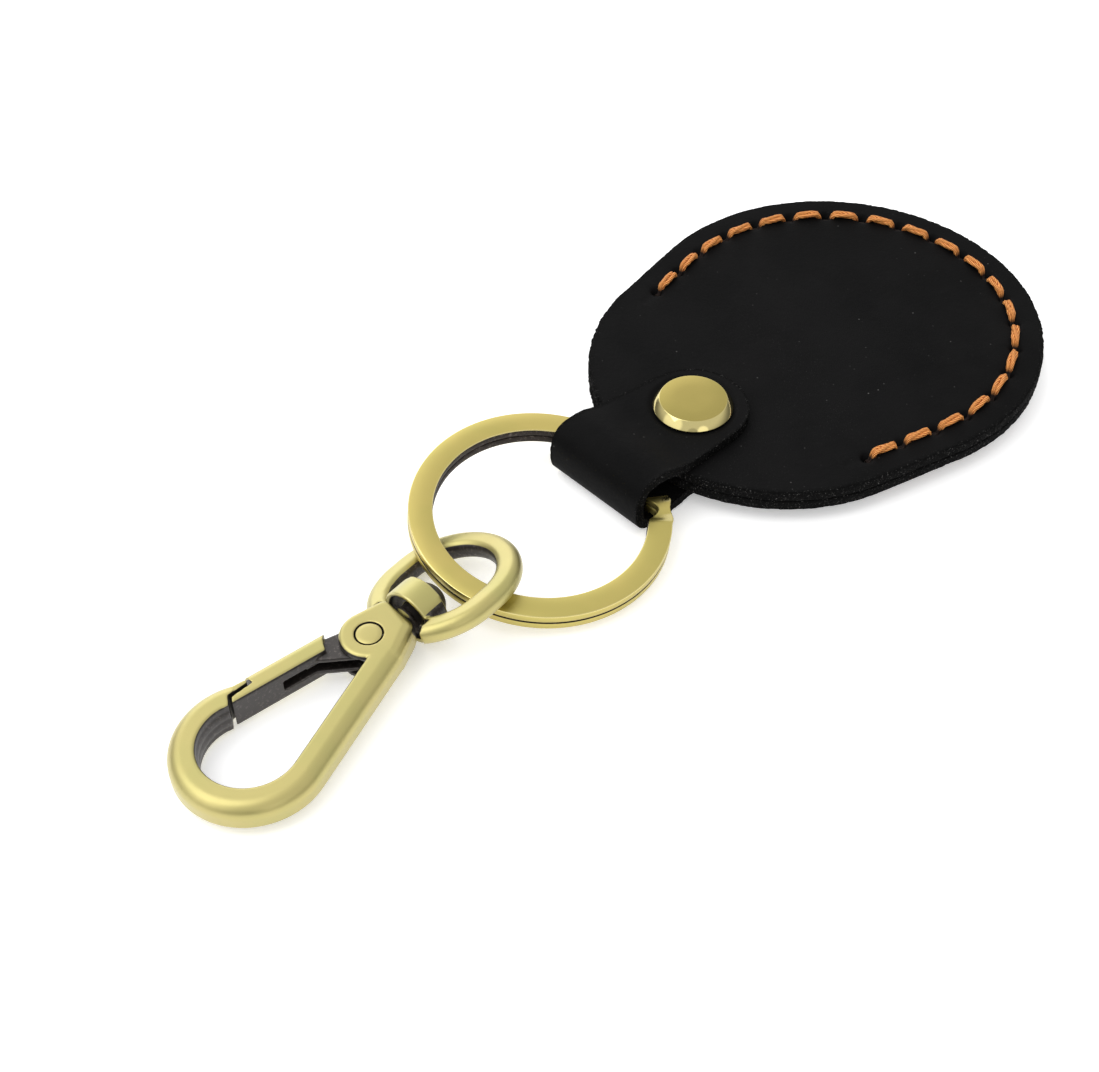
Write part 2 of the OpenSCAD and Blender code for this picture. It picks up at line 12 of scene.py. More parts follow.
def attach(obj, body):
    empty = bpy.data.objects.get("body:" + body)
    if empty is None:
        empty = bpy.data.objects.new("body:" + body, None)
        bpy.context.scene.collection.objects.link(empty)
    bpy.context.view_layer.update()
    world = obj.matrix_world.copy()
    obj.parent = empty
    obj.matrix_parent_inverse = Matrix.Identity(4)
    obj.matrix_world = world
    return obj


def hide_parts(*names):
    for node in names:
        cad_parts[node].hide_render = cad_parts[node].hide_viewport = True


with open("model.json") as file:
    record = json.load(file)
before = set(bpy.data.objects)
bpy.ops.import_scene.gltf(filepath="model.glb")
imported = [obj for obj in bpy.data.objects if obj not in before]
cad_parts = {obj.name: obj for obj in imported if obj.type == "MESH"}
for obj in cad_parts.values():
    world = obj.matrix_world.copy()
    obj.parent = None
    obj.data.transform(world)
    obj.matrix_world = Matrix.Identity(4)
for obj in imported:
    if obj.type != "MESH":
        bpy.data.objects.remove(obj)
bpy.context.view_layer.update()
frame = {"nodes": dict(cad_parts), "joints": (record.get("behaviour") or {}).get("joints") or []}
NODES = frame["nodes"]
JOINTS = {joint["name"]: joint for joint in frame["joints"]}
MM = 0.001

# Sizes of the part, in millimetres, as its source names them
SCREW_X = JOINTS["strap_pivot"]["pos_m"][0] / MM
PANEL_T, WIDE_R, NARROW_R, END_SPACING, SCREW_INSET = 1.4, 25.2, 22.7, 11.55, 8.8
NARROW_X = SCREW_X + NARROW_R - SCREW_INSET
WIDE_X = NARROW_X + END_SPACING
BACK_Z, FRONT_Z = 1.9, 3.35
STITCH_COUNT, STITCH_PITCH, STITCH_INSET, STITCH_SHIFT = 20, 4.86, 3.5, -1.3
THREAD_D, THREAD_DIVE = 0.8, 1.0
STRAP_W, TIP_W, STRAP_T, STRAP_SHIFT, STRAP_BEND_X = 14.2, 13.2, 1.2, 0.4, 6.6
TIP_Y, TIP_TOUCH = -0.1, (0.925, 6.435)
STRAP_TURN = 2.5
LOWER_MID_Z, UPPER_MID_Z = 1.25, 5.4
FOLD_R, FOLD_X, FOLD_Z, FOLD_SHARE = 3.05, -12.555, 3.75, 0.72
HEAD_D, HEAD_FLAT_D, HEAD_H, HEAD_RIM_H, HEAD_Z = 9.6, 8.1, 1.2, 0.25, 5.9
BARREL_D, BARREL_Z = 4.0, 1.05
RING_R, RING_BAND, COIL_T, COIL_GAP, RING_ROLL = 15.0, 2.8, 1.0, 0.08, 7.0
JOG_ANGLE, JOG_GAP = -38.0, 15.0
RING_C = Vector(JOINTS["eye_travel"]["pos_m"]) / MM
PIN_C = Vector(JOINTS["gate_hinge"]["pos_m"]) / MM
PIN_R, BAR_H, EAR_REACH, HEAD_X, COLLAR_X = 1.6, 4.3, 4.9, 22.7, 23.4
EYE_ROLL, GATE_ANGLE = 20.0, 12.2
HOOK_X = Vector(JOINTS["hook_swivel"]["axis"]).normalized()
HOOK_Z = Vector(JOINTS["gate_hinge"]["axis"]).normalized()
HOOK_Y = HOOK_Z.cross(HOOK_X)
HOOK_O = Vector(JOINTS["hook_swivel"]["pos_m"]) / MM - COLLAR_X * HOOK_X
EYE_Z = Matrix.Rotation(math.radians(-EYE_ROLL), 3, HOOK_X) @ HOOK_Z
SCREW = Vector((SCREW_X, 0, 0))
STRAP_YAW = Matrix.Rotation(math.radians(STRAP_TURN), 4, "Z")
STRAP_LIE = Matrix.Translation(SCREW) @ STRAP_YAW @ Matrix.Translation(-SCREW)

# Camera, in millimetres from the screw, as the strap lies, fitted to the photograph
CAMERA_FROM, CAMERA_AIM, CAMERA_LENS = (-133.4, -115.0, 165.2), (-23.1, 0.36, 0.0), 65.5

# How finely the pieces are cut up
PANEL_STEPS, HEAD_STEPS, RIVET_STEPS, COIL_STEPS, JOG_CUTS = 720, 160, 64, 220, 14
STRAP_STEP, STRAP_ROWS = 0.24, 60
STITCH_STEPS = 24
SHELTER_REACH, SHELTER_RAYS, SHELTER_RAYS_QUICK = 9, 20, 8


# ---------------------------------------------------------------- making
def only(obj):
    """Selects obj alone and makes it the active object."""
    for other in bpy.context.selected_objects:
        other.select_set(False)
    obj.select_set(True)
    bpy.context.view_layer.objects.active = obj
    return obj


def edit(obj):
    """Opens obj alone in edit mode."""
    only(obj)
    bpy.ops.object.mode_set(mode="EDIT")
    return bmesh.from_edit_mesh(obj.data)


def leave():
    bpy.ops.object.mode_set(mode="OBJECT")


def merge(threshold):
    """Merges the doubles of the mesh in edit mode."""
    bpy.ops.mesh.select_all(action="SELECT")
    bpy.ops.mesh.remove_doubles(threshold=threshold)


def face_outwards():
    """Turns all faces of the mesh in edit mode outwards and leaves it."""
    bpy.ops.mesh.select_all(action="SELECT")
    bpy.ops.mesh.normals_make_consistent(inside=False)
    leave()


def joined(pieces):
    """Joins pieces, all selected, into the first of them."""
    for piece in pieces:
        piece.select_set(True)
    bpy.context.view_layer.objects.active = pieces[0]
    bpy.ops.object.join()
    return bpy.context.object


def modified(obj, kind, **settings):
    """Adds one modifier to obj and applies it."""
    modifier = obj.modifiers.new(kind.title(), kind)
    for key, value in settings.items():
        setattr(modifier, key, value)
    only(obj)
    bpy.ops.object.modifier_apply(modifier=modifier.name)
    return obj


def placed(obj, matrix):
    """Moves the mesh itself, so that its object stays at the origin."""
    obj.data.transform(matrix)
    return obj


def finished(obj, name, body, material, replaces=(), angle=35):
    """Names a piece, scales it from millimetres to metres and hangs it on its body."""
    obj.name = obj.data.name = name
    only(obj)
    bpy.ops.object.transform_apply(location=True, rotation=True, scale=True)
    placed(obj, Matrix.Scale(MM, 4))
    bpy.ops.object.shade_smooth_by_angle(angle=math.radians(angle))
    obj.data.materials.clear()
    obj.data.materials.append(material)
    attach(obj, body)
    if replaces:
        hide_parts(*replaces)
    return obj


def coordinates(obj):
    co = np.empty(len(obj.data.vertices) * 3)
    obj.data.vertices.foreach_get("co", co)
    return co.reshape(-1, 3)


def set_coordinates(obj, co):
    obj.data.vertices.foreach_set("co", np.asarray(co, float).ravel())
    obj.data.update()


def vertex_normals(obj):
    normals = np.empty(len(obj.data.vertices) * 3)
    obj.data.vertices.foreach_get("normal", normals)
    return normals.reshape(-1, 3)


def store(obj, name, values):
    """Keeps one number per vertex under a name that a material can read."""
    layer = obj.data.attributes.new(name, "FLOAT", "POINT")
    layer.data.foreach_set("value", np.asarray(values, np.float32))


def eased(x, low, high):
    """A smooth step from 0 at low to 1 at high, which may be the lesser."""
    t = np.clip((np.asarray(x, float) - low) / (high - low), 0, 1)
    return t * t * (3 - 2 * t)


def spread(obj, values, rounds):
    """Averages per-vertex values with those of their neighbours."""
    edges = np.empty(len(obj.data.edges) * 2, int)
    obj.data.edges.foreach_get("vertices", edges)
    a, b = edges.reshape(-1, 2).T
    count = np.bincount(np.concatenate([a, b]), minlength=len(values)) + 1
    for _ in range(rounds):
        total = values.copy()
        for axis in range(values.shape[1] if values.ndim > 1 else 1):
            column = values[:, axis] if values.ndim > 1 else values
            gathered = np.bincount(a, column[b], len(column))
            gathered += np.bincount(b, column[a], len(column))
            if values.ndim > 1:
                total[:, axis] += gathered
            else:
                total = total + gathered
        values = total / (count[:, None] if values.ndim > 1 else count)
    return values


def solids(blockers, own):
    """One search tree of all blockers, in millimetres."""
    verts, faces = [], []
    for blocker in blockers:
        start = len(verts)
        scale = 1 if blocker is own else 1 / MM
        verts += [v.co * scale for v in blocker.data.vertices]
        faces += [[start + i for i in p.vertices] for p in blocker.data.polygons]
    return BVHTree.FromPolygons(verts, faces)


def shelter(obj, tree, reach, rays):
    """How much of the view from each vertex is hidden, from 0 to 1."""
    golden = math.pi * (3 - math.sqrt(5))
    fan = []
    for k in range(rays):
        height = math.sqrt(1 - (k + 0.5) / rays)
        side = math.sqrt(1 - height * height)
        fan.append((side * math.cos(k * golden), side * math.sin(k * golden), height))
    hidden = np.zeros(len(obj.data.vertices))
    for i, vertex in enumerate(obj.data.vertices):
        turn = vertex.normal.to_track_quat("Z", "X").to_matrix()
        start = vertex.co + vertex.normal * 0.06
        hidden[i] = sum(tree.ray_cast(start, turn @ Vector(f), reach)[0] is not None for f in fan)
    return hidden / rays


def enclosure(obj, tree, up, reach):
    """Finds the walls that face into a closed opening of a flat piece."""
    inward = np.zeros(len(obj.data.vertices))
    turns = [Matrix.Rotation(math.radians(a), 3, up) for a in (-60, -35, -12, 12, 35, 60)]
    for i, vertex in enumerate(obj.data.vertices):
        lean = vertex.normal.dot(up)
        if abs(lean) < 0.85:
            flat = (vertex.normal - lean * up).normalized()
            start = vertex.co + flat * 0.08
            hits = sum(tree.ray_cast(start, turn @ flat, reach)[0] is not None for turn in turns)
            inward[i] = float(eased(hits, 3.5, 5.5)) * float(eased(abs(lean), 0.80, 0.50))
    return inward


def bulge(obj):
    """Positive on outer edges, negative in corners, near zero on flats."""
    co = coordinates(obj)
    lean = spread(obj, co, 3) - co
    return spread(obj, -(lean * vertex_normals(obj)).sum(1), 2)


# ---------------------------------------------------------------- shader maths
class Field:
    """A shader value that can be used in sums like a number."""

    def __init__(self, finish, socket):
        self.finish, self.socket = finish, socket

    def _math(self, operation, a, b):
        return self.finish.make("ShaderNodeMath", {"operation": operation}, {0: a, 1: b})

    def __add__(self, other):
        return self._math("ADD", self, other)

    __radd__ = __add__

    def __mul__(self, other):
        return self._math("MULTIPLY", self, other)

    __rmul__ = __mul__

    def __sub__(self, other):
        return self._math("SUBTRACT", self, other)

    def __rsub__(self, other):
        return self._math("SUBTRACT", other, self)

    def most(self, other):
        return self._math("MAXIMUM", self, other)

    def sine(self):
        return self.finish.make("ShaderNodeMath", {"operation": "SINE"}, {0: self})

    def eased(self, low, high):
        """A smooth step from 0 at low to 1 at high."""
        return self.finish.make(
            "ShaderNodeMapRange",
            {"interpolation_type": "SMOOTHSTEP"},
            {"Value": self, "From Min": low, "From Max": high, "To Min": 0.0, "To Max": 1.0},
        )


class Finish:
    """One procedural material."""

    def __init__(self, name, **numbers):
        self.material = bpy.data.materials.new(name)
        self.material.use_nodes = True
        self.tree = self.material.node_tree
        self.shader = next(n for n in self.tree.nodes if n.type == "BSDF_PRINCIPLED")
        self.place = self.make("ShaderNodeTexCoord", {}, {}, "Object")
        self.bumps = None
        for key, value in numbers.items():
            self.shader.inputs[key.replace("_", " ")].default_value = value

    def make(self, kind, settings, inputs, output=0):
        """Adds one node, sets it, feeds its sockets and gives one of its outputs."""
        node = self.tree.nodes.new(kind)
        for key, value in settings.items():
            if key == "stops":
                self._stops(node.color_ramp, value)
            else:
                setattr(node, key, value)
        for key, value in inputs.items():
            socket = node.inputs[key]
            if isinstance(value, Field):
                self.tree.links.new(value.socket, socket)
            else:
                socket.default_value = value
        return Field(self, node.outputs[output])

    def _stops(self, ramp, stops):
        while len(ramp.elements) < len(stops):
            ramp.elements.new(0.5)
        for element, (position, colour) in zip(ramp.elements, stops):
            element.position = position
            element.color = (*colour, 1)

    def noise(self, scale, detail=3.0, roughness=0.5):
        inputs = {"Vector": self.place, "Scale": scale, "Detail": detail, "Roughness": roughness}
        return self.make("ShaderNodeTexNoise", {}, inputs)

    def cells(self, scale, feature="F1", output="Distance"):
        inputs = {"Vector": self.place, "Scale": scale}
        return self.make("ShaderNodeTexVoronoi", {"feature": feature}, inputs, output)

    def stored(self, name):
        return self.make("ShaderNodeAttribute", {"attribute_name": name}, {}, "Fac")

    def mix(self, share, a, b):
        a = (*a, 1) if isinstance(a, tuple) else a
        b = (*b, 1) if isinstance(b, tuple) else b
        return self.make("ShaderNodeMix", {"data_type": "RGBA"}, {0: share, 6: a, 7: b}, 2)

    def ramp(self, value, stops):
        return self.make("ShaderNodeValToRGB", {"stops": stops}, {0: value})

    def feed(self, socket, value):
        self.tree.links.new(value.socket, self.shader.inputs[socket])

    def bump(self, height, distance, strength=1.0):
        """Adds relief, each layer on top of the last."""
        inputs = {"Height": height, "Distance": distance * MM, "Strength": strength}
        if self.bumps:
            inputs["Normal"] = self.bumps
        self.bumps = self.make("ShaderNodeBump", {}, inputs)
        self.feed("Normal", self.bumps)


def antique_brass(name, plain, warm, rough=0.42, relief=1.0, coat=0.0):
    """Plated brass: satin olive gold outside, gunmetal brown in its recesses, lighter on its edges
    from rubbed wear and a painted highlight.
    """
    f = Finish(name, Metallic=1.0, Coat_Weight=coat, Coat_IOR=1.7, Coat_Roughness=0.35)
    cloud = f.noise(150, 2)
    blotch = f.noise(600, 4, 0.6)
    scratch = f.noise(2600, 4, 0.7)
    patina = f.stored("patina")
    edge = f.stored("edge")
    dark = (patina + 0.22 * (blotch - 0.5)).eased(0.30, 0.62)
    body = f.mix(cloud.eased(0.35, 0.65), plain, warm)
    # Lighter brass on the edges: partly rubbed wear, partly a painted highlight.
    body = f.mix(edge.eased(0.15, 1.0) * 0.6, body, (0.78, 0.69, 0.36))
    deep = f.mix(scratch.eased(0.50, 0.78), (0.040, 0.033, 0.029), (0.17, 0.145, 0.13))
    f.feed("Base Color", f.mix(dark, body, deep))
    polished = 0.20 * edge.eased(0.3, 1.0)
    f.feed("Roughness", rough + 0.08 * (blotch - 0.5) - polished + 0.22 * dark)
    f.bump(f.noise(9000, 3, 0.6), 0.010 * relief, 0.4)
    f.bump(f.noise(900, 2), 0.025 * relief, 0.3)
    return f.material


def wax_leather(name):
    """Black pull-up leather: fine grain, dusty specks, fibrous cut edges."""
    f = Finish(name, Specular_IOR_Level=0.045)
    rim = f.stored("rim")
    grain = f.cells(3300)
    pores = f.cells(1500, "SMOOTH_F1")
    cloud = f.noise(90, 4, 0.6)
    nap = f.noise(5200, 4, 0.7)
    crease = f.noise(700, 5, 0.65)
    body = f.mix(cloud.eased(0.3, 0.7), (0.0022, 0.0022, 0.0023), (0.0046, 0.0045, 0.0046))
    cut = f.mix(nap.eased(0.5, 0.8), (0.003, 0.003, 0.003), (0.016, 0.0155, 0.0155))
    body = f.mix(rim, body, cut)
    speck = f.cells(1500)
    lot = f.make("ShaderNodeSeparateColor", {}, {0: f.cells(1500, output="Color")})
    chosen = lot.eased(0.90, 0.99)
    drift = 0.15 + 0.85 * f.noise(200, 2).eased(0.45, 0.62)
    dust = (1 - speck.eased(0.05, 0.20)) * chosen * drift
    edge_dust = f.noise(5200, 3, 0.8).eased(0.60, 0.74) * rim
    fine = f.noise(6500, 2, 0.8).eased(0.64, 0.78) * f.noise(110, 3).eased(0.50, 0.66)
    grey = (dust * 0.30).most(edge_dust * 0.6).most(fine * 0.14)
    f.feed("Base Color", f.mix(grey, body, (0.32, 0.31, 0.30)))
    f.feed("Roughness", 0.60 + 0.12 * (cloud - 0.5) + rim * 0.25)
    f.bump(grain, 0.022, 0.5)
    f.bump(pores + crease, 0.05, 0.35)
    f.bump(nap * rim, 0.16, 0.9)
    return f.material


def waxed_thread(name):
    """Twisted polyester: strands along the ply, with painted shade between them and a painted
    highlight on them, and painted shade where it dives into the holes.
    """
    f = Finish(name, Specular_IOR_Level=0.3)
    strand = (f.stored("strand") * 15.0).sine() * 0.5 + 0.5
    fuzz = f.noise(6000, 3, 0.7)
    tone = strand * 0.6 + fuzz * 0.4
    # The dark stop is painted shade between the strands, the bright stop a painted highlight on
    # them.
    stops = [(0.15, (0.22, 0.040, 0.007)), (0.45, (0.56, 0.155, 0.024)), (0.80, (0.95, 0.46, 0.13))]
    colour = f.ramp(tone, stops)
    # Painted shade where the thread dives into its holes.
    f.feed("Base Color", f.mix(f.stored("sunk"), colour, (0.012, 0.005, 0.003)))
    f.feed("Roughness", 0.62 - 0.1 * tone)
    f.bump(strand + fuzz * 0.5, 0.05, 0.8)
    return f.material


def spring_steel(name):
    """Drawn wire, grey and a little uneven."""
    f = Finish(name, Metallic=1.0)
    drawn = f.noise(5000, 2, 0.5)
    f.feed("Base Color", f.mix(drawn, (0.30, 0.30, 0.31), (0.46, 0.46, 0.47)))
    f.feed("Roughness", 0.3 + 0.1 * drawn)
    return f.material


# ---------------------------------------------------------------- camera, light and floor
def set_stage():
    """The photograph's camera, a pale floor, the tent and two soft lamps."""
    camera = bpy.data.cameras.new("camera")
    camera.lens = CAMERA_LENS
    camera.sensor_width = 36
    camera.clip_start = 0.01
    view = bpy.data.objects.new("camera", camera)
    view.location = STRAP_LIE @ (SCREW + Vector(CAMERA_FROM)) * MM
    aim = STRAP_LIE @ (SCREW + Vector(CAMERA_AIM)) * MM
    view.rotation_euler = (aim - view.location).to_track_quat("-Z", "Y").to_euler()
    bpy.context.scene.collection.objects.link(view)
    bpy.context.scene.camera = view
    bpy.context.scene.view_settings.view_transform = "Standard"

    bpy.ops.mesh.primitive_plane_add(size=6, location=(0, 0, 0))
    floor = bpy.context.object
    floor.name = "floor"
    glow = {"Emission_Color": (1, 1, 1, 1), "Emission_Strength": 0.34}
    pale = Finish("pale_floor", Roughness=0.6, Specular_IOR_Level=0.1, **glow)
    pale.feed("Base Color", pale.mix(pale.noise(3, 2), (0.93, 0.93, 0.93), (0.95, 0.95, 0.95)))
    floor.data.materials.append(pale.material)

    set_world()
    for name, place, size, power in (
        ("key_light", (-0.35, 0.25, 0.75), 0.7, 2.6),
        ("back_light", (0.25, 0.8, 0.24), 0.5, 0.7),
    ):
        light = bpy.data.lights.new(name, "AREA")
        light.size = size
        light.energy = power
        lamp = bpy.data.objects.new(name, light)
        lamp.location = place
        lamp.rotation_euler = (-Vector(place)).to_track_quat("-Z", "Y").to_euler()
        bpy.context.scene.collection.objects.link(lamp)


def set_world():
    """A white tent: bright overhead, darker low down, three soft boxes and one dark card."""
    world = bpy.data.worlds.new("tent")
    world.use_nodes = True
    nodes, links = world.node_tree.nodes, world.node_tree.links
    way = nodes.new("ShaderNodeTexCoord").outputs["Generated"]

    def towards(direction, low, high, dim, bright):
        dot = nodes.new("ShaderNodeVectorMath")
        dot.operation = "DOT_PRODUCT"
        links.new(way, dot.inputs[0])
        dot.inputs[1].default_value = Vector(direction).normalized()
        step = nodes.new("ShaderNodeMapRange")
        step.interpolation_type = "SMOOTHSTEP"
        limits = {"From Min": low, "From Max": high, "To Min": dim, "To Max": bright}
        for key, value in limits.items():
            step.inputs[key].default_value = value
        links.new(dot.outputs["Value"], step.inputs["Value"])
        return step.outputs["Result"]

    def total(a, b):
        add = nodes.new("ShaderNodeMath")
        add.operation = "ADD"
        links.new(a, add.inputs[0])
        links.new(b, add.inputs[1])
        return add.outputs["Value"]

    glow = towards((0, 0, 1), 0.05, 0.50, 0.26, 0.98)
    for direction, low, high, power in (
        ((0.35, 0.85, 0.32), 0.84, 0.93, 0.75),
        ((-0.9, 0.2, 0.5), 0.88, 0.94, 0.70),
        ((-0.62, -0.68, 0.36), 0.965, 0.985, -0.35),
        ((-0.25, -0.88, 0.40), 0.965, 0.985, 0.80),
    ):
        glow = total(glow, towards(direction, low, high, 0.0, power))
    links.new(glow, nodes["Background"].inputs["Strength"])
    nodes["Background"].inputs["Color"].default_value = (1, 1, 1, 1)
    bpy.context.scene.world = world


# ---------------------------------------------------------------- leather body
TANGENT = math.pi / 2 + math.asin((WIDE_R - NARROW_R) / END_SPACING)
FLANK = math.sqrt(END_SPACING ** 2 - (WIDE_R - NARROW_R) ** 2)
HEART = Vector((WIDE_X - 7.5, 0))


def outline_reach(angle, inset):
    """Distance from HEART to the body's outline, moved in by inset, in one direction."""
    way = Vector((math.cos(angle), math.sin(angle)))
    best = 0
    for centre_x, radius in ((WIDE_X, WIDE_R - inset), (NARROW_X, NARROW_R - inset)):
        back = Vector((centre_x, 0)) - HEART
        along = back.dot(way)
        inside = radius * radius - back.length_squared + along * along
        if inside > 0:
            best = max(best, along + math.sqrt(inside))
    for side in (1, -1):
        normal = Vector((math.cos(TANGENT), side * math.sin(TANGENT)))
        slope = way.dot(normal)
        if slope > 1e-6:
            reach = (WIDE_R - inset + (Vector((WIDE_X, 0)) - HEART).dot(normal)) / slope
            spot = HEART + reach * way
            along = (spot - Vector((WIDE_X, 0))).dot(Vector((-normal.y, normal.x)) * side)
            if 0 <= along <= FLANK:
                best = max(best, reach)
    return best


def stitch_point(s):
    """Point of the stitch line at distance s from the far end, either way."""
    radius = WIDE_R - STITCH_INSET
    arc = radius * TANGENT
    side = -1 if s < 0 else 1
    turn = min(abs(s), arc) / radius
    rest = max(0, abs(s) - arc)
    return Vector((
        WIDE_X + radius * math.cos(turn) - rest * math.sin(TANGENT),
        side * (radius * math.sin(turn) + rest * math.cos(TANGENT)),
    ))


HOLES = [
    stitch_point((i - STITCH_COUNT / 2) * STITCH_PITCH + STITCH_SHIFT)
    for i in range(STITCH_COUNT + 1)
]


def roughness(point, size, seed):
    """Smooth noise from about -1 to 1 with bumps of one size."""
    return noise.noise(Vector(point) / size + Vector((seed, 0, 0)))


def leather_panel(name, z, upper, material):
    """A cut panel: rim rows with a soft edge, then rows inwards past the stitch line."""
    face_z, back_z = (z + PANEL_T, z) if upper else (z, z + PANEL_T)
    sign = 1 if upper else -1
    rows = [(9.0, back_z), (3.0, back_z), (0.22, back_z), (0.07, back_z + sign * 0.08)]
    rows += [(0.0, back_z + sign * h) for h in (0.25, 0.45, 0.65, 0.85, 1.05)]
    rows += [(0.03, face_z - sign * 0.18), (0.12, face_z - sign * 0.06)]
    rows += [(inset, face_z) for inset in (0.3, 0.8, 1.6, 2.3, 2.6, 2.85, 3.1, 3.3, 3.5)]
    rows += [(inset, face_z) for inset in (3.7, 3.9, 4.15, 4.4, 4.8, 6.0, 9.0, 14.0)]
    bpy.ops.mesh.primitive_circle_add(
        vertices=PANEL_STEPS, radius=10, fill_type="NGON", location=(HEART.x, 0, 0)
    )
    panel = bpy.context.object
    only(panel)
    bpy.ops.object.transform_apply(location=True)
    mesh = edit(panel)
    for number, (inset, height) in enumerate(rows):
        if number:
            bpy.ops.mesh.extrude_region()
        for vertex in (v for v in mesh.verts if v.select):
            angle = math.atan2(vertex.co.y, vertex.co.x - HEART.x)
            reach = outline_reach(angle, inset)
            vertex.co = (HEART.x + reach * math.cos(angle), reach * math.sin(angle), height)
    face_outwards()
    co = coordinates(panel)
    flat = np.array([(h.x, h.y) for h in HOLES])
    rim = np.zeros(len(co))
    for i, (x, y, height) in enumerate(co):
        angle = math.atan2(y, x - HEART.x)
        room = outline_reach(angle, 0) - math.hypot(x - HEART.x, y)
        rim[i] = float(eased(room, 0.42, 0.16))
        if room < 0.6:
            fuzzy = float(eased(-math.cos(angle), 0.2, 0.9))
            fuzzy *= float(eased(math.sin(angle), -0.3, 0.5))
            wild = 0.10 + 0.22 * fuzzy
            wild += 0.12 * float(eased(math.cos(angle), 0.6, 0.9))
            push = -0.5 * wild + wild * roughness((x, y, height), 0.35, 3 + z)
            push += 0.10 * roughness((x, y, height), 1.7, 9 + z)
            push = min(push, -0.015) * (1 - room / 0.6)
            co[i, 0] += push * math.cos(angle)
            co[i, 1] += push * math.sin(angle)
        if abs(height - face_z) < 0.05 and room < 7:
            near = float(np.sqrt(((flat - (x, y)) ** 2).sum(1).min()))
            pulled = 0.95 * math.exp(-((near / 0.62) ** 4)) + 0.10 * math.exp(-((near / 1.2) ** 2))
            groove = 0.07 * math.exp(-(((room - STITCH_INSET) / 0.7) ** 2)) if near < 3 else 0
            co[i, 2] -= sign * (pulled + groove)
            co[i, 2] += 0.015 * roughness((x, y, 0), 2.5, 5)
    set_coordinates(panel, co)
    store(panel, "rim", rim)
    node = "front_panel" if upper else "back_panel"
    return finished(panel, name, "holder", material, [node], 60)


# ---------------------------------------------------------------- stitches
def thread_route(z, side):
    """The thread's middle line: flat on the leather, then down into each hole."""
    lift = THREAD_D / 2 - 0.03
    route = []
    for i in range(STITCH_COUNT):
        for k in range(STITCH_STEPS + (i == STITCH_COUNT - 1)):
            u = k / STITCH_STEPS
            spot = HOLES[i].lerp(HOLES[i + 1], u)
            drop = float(eased(abs(2 * u - 1), 0.50, 0.80))
            height = z + side * (lift - (lift + THREAD_DIVE) * drop)
            route.append(Vector((spot.x, spot.y, height)))
    return route


def stitches(name, z, side, node, material):
    """Three plies laid round one another along the route."""
    route = thread_route(z, side)
    plies = []
    for ply in range(3):
        curve = bpy.data.curves.new(f"{name}_ply", "CURVE")
        curve.dimensions = "3D"
        curve.bevel_depth = 0.25
        curve.bevel_resolution = 3
        curve.use_fill_caps = True
        line = curve.splines.new("POLY")
        line.points.add(len(route) - 1)
        for i, spot in enumerate(route):
            ahead = (route[min(i + 1, len(route) - 1)] - route[max(i - 1, 0)]).normalized()
            across = ahead.cross(Vector((0, 0, 1))).normalized()
            over = across.cross(ahead)
            at = i / STITCH_STEPS
            angle = 2 * math.pi * (at * 0.4 + ply / 3)
            wander = 1 + 0.12 * noise.noise(Vector((i * 0.35, ply * 7.1, z)))
            wander *= 1.18 - 0.55 * float(eased(abs(2 * (at % 1) - 1), 0.25, 0.8))
            off = 0.27 * math.cos(angle) * across + 0.15 * math.sin(angle) * over
            place = spot + wander * off
            line.points[i].co = (*place, 1)
        strand = bpy.data.objects.new(f"{name}_ply", curve)
        bpy.context.scene.collection.objects.link(strand)
        only(strand)
        bpy.ops.object.convert(target="MESH")
        plies.append(bpy.context.object)
    thread = joined(plies)
    co = coordinates(thread)
    line = np.array(route)
    nearest = np.array([((line - c) ** 2).sum(1).argmin() for c in co])
    offset = co - line[nearest]
    ahead = np.gradient(line, axis=0)[nearest]
    across = np.cross(ahead, (0, 0, 1))
    across /= np.linalg.norm(across, axis=1)[:, None]
    angle = np.arctan2(offset[:, 2], (offset * across).sum(1))
    store(thread, "strand", angle + nearest * 0.05)
    # Painted shade on the thread where it dives into the holes.
    store(thread, "sunk", eased(side * (z - co[:, 2]), -0.16, 0.22))
    return finished(thread, name, "holder", material, [node], 60)


# ---------------------------------------------------------------- strap
def full(c):
    """A sine or cosine made fuller, for a squarish round."""
    return math.copysign(abs(c) ** FOLD_SHARE, c)


def strap_line():
    """The strap's middle line from its lower tip round the fold to its upper tip."""
    half = TIP_W / 2
    tip = [half * math.sin(math.radians(a)) for a in np.linspace(89.0, 0, 26)]
    flat = [-STRAP_BEND_X * k / 24 for k in range(1, 24)]

    def bend(u, start_z, end_z):
        """A point of the smooth step in height between the flat and the fold."""
        x = -STRAP_BEND_X + (FOLD_X + STRAP_BEND_X) * u
        return x, start_z + (end_z - start_z) * float(eased(u, 0, 1))

    ease = [k / 36 for k in range(36)]
    lower = [(x, LOWER_MID_Z) for x in tip + flat]
    lower += [bend(u, LOWER_MID_Z, FOLD_Z - FOLD_R) for u in ease]
    fold = []
    for k in range(73):
        a = math.radians(-90 - 180 * k / 72)
        fold.append((FOLD_X + FOLD_R * full(math.cos(a)), FOLD_Z + FOLD_R * full(math.sin(a))))
    upper = [bend(u, UPPER_MID_Z, FOLD_Z + FOLD_R) for u in ease[:0:-1]]
    upper += [(x, UPPER_MID_Z) for x in [-STRAP_BEND_X] + flat[::-1] + tip[::-1]]
    return [Vector((SCREW_X + x, 0, z)) for x, z in lower + fold + upper]


def strap_sides(x):
    """Where the strap's two long edges run at x, from the screw."""
    half, slope = TIP_W / 2, 1 if x > -STRAP_BEND_X else 0
    wide = STRAP_SHIFT + STRAP_W / 2
    share = (x + STRAP_BEND_X) / (TIP_TOUCH[0] + STRAP_BEND_X)
    high = wide + slope * (TIP_TOUCH[1] - wide) * share
    round_end = math.sqrt(max(0, half * half - x * x)) if x > 0 else half
    low = TIP_Y - round_end
    return low, (TIP_Y + round_end if x > TIP_TOUCH[0] else high)


